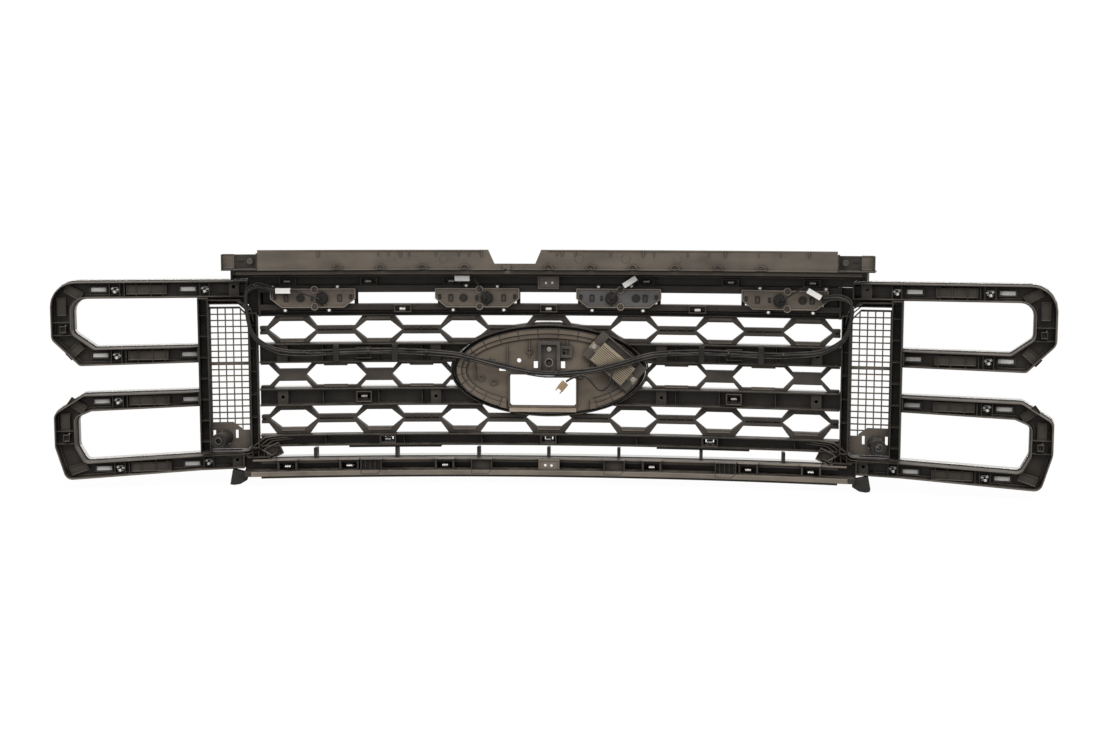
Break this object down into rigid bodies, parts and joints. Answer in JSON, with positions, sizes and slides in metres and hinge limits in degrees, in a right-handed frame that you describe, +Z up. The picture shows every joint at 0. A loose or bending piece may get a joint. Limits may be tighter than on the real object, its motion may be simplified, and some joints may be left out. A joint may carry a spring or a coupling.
{
  "type": "front grille",
  "caption": "Wide vehicle front grille with hexagon mesh, plated bars, four lamp surrounds, marker lamps on twist-lock sockets, an oval badge pocket and a wiring loom.",
  "frame": {"origin": "centre of the badge's flat seat, on its front face", "axes": "+X right as seen from behind, along the width; +Y forward, the driving direction; +Z up"},
  "size_m": [1.8604, 0.174, 0.4475],
  "materials": {
    "black_plastic": "satin moulded black-brown plastic",
    "mesh_plastic": "satin moulded dark brown-grey plastic",
    "grey_plastic": "matt grey-brown plastic",
    "grid_plastic": "matt grey-brown plastic",
    "plated_skin": "bright plated plastic",
    "lamp_plastic": "matt grey-brown plastic",
    "clear_lens": "clear moulded lens",
    "socket_plastic": "black plastic",
    "bulb_glass": "clear bulb",
    "rubber": "soft black rubber",
    "steel": "zinc-plated steel",
    "spring_steel": "bright spring steel",
    "module_plastic": "beige ribbed plastic",
    "white_plastic": "white connector plastic",
    "tan_plastic": "tan connector plastic",
    "cable_sleeve": "taped black loom",
    "vent_membrane": "breather disc"
  },
  "bodies": {
    "grille": {"carrier_frame": "black_plastic", "mesh_insert": "mesh_plastic", "upper_bar_channel": "black_plastic", "lower_bar_channel": "black_plastic", "upper_bar_skin": "plated_skin", "lower_bar_skin": "plated_skin", "surround_upper_left": "black_plastic", "surround_upper_right": "black_plastic", "surround_lower_left": "black_plastic", "surround_lower_right": "black_plastic", "surround_skin_upper_left": "plated_skin", "surround_skin_upper_right": "plated_skin", "surround_skin_lower_left": "plated_skin", "surround_skin_lower_right": "plated_skin", "side_grid_left": "grid_plastic", "side_grid_right": "grid_plastic", "standoff_bushes": "rubber", "standoff_sleeves": "steel", "valance": "black_plastic", "valance_skin": "plated_skin", "corner_fins": "rubber", "header_panel": "black_plastic", "air_deflector": "grey_plastic", "deflector_end_left": "grey_plastic", "deflector_end_right": "grey_plastic", "deflector_screws": "steel", "lamp_housing_1": "lamp_plastic", "lamp_housing_2": "lamp_plastic", "lamp_housing_3": "lamp_plastic", "lamp_housing_4": "lamp_plastic", "lamp_lens_1": "clear_lens", "lamp_lens_2": "clear_lens", "lamp_lens_3": "clear_lens", "lamp_lens_4": "clear_lens", "lamp_vents": "vent_membrane", "lamp_screws": "steel", "badge_backplate": "grey_plastic", "pocket_dish": "grey_plastic", "badge_bezel": "plated_skin", "camera_bracket": "grey_plastic", "bracket_screws": "steel", "driver_module": "module_plastic", "module_tray": "socket_plastic", "module_screws": "steel", "harness_trunk": "cable_sleeve", "lamp_leads": "cable_sleeve", "lamp_connectors": "white_plastic", "plug_lead": "cable_sleeve", "main_plug": "tan_plastic", "harness_clips": "socket_plastic", "spring_clips": "spring_steel"},
    "socket_1": {"bulb_socket_1": "socket_plastic", "bulb_1": "bulb_glass"},
    "socket_2": {"bulb_socket_2": "socket_plastic", "bulb_2": "bulb_glass"},
    "socket_3": {"bulb_socket_3": "socket_plastic", "bulb_3": "bulb_glass"},
    "socket_4": {"bulb_socket_4": "socket_plastic", "bulb_4": "bulb_glass"}
  },
  "joints": [
    {"name": "socket_twist_1", "type": "hinge", "parent": "grille", "child": "socket_1", "pos_m": [-0.42621, -0.06198, 0.1395], "axis": [0.1549, -0.9879, 0], "range_deg": [0, 45]},
    {"name": "socket_twist_2", "type": "hinge", "parent": "grille", "child": "socket_2", "pos_m": [-0.11602, -0.0324, 0.1395], "axis": [0.0469, -0.9989, 0], "range_deg": [0, 45]},
    {"name": "socket_twist_3", "type": "hinge", "parent": "grille", "child": "socket_3", "pos_m": [0.12101, -0.03263, 0.1395], "axis": [-0.0469, -0.9989, 0], "range_deg": [0, 45]},
    {"name": "socket_twist_4", "type": "hinge", "parent": "grille", "child": "socket_4", "pos_m": [0.43411, -0.06322, 0.1395], "axis": [-0.1549, -0.9879, 0], "range_deg": [0, 45]}
  ]
}
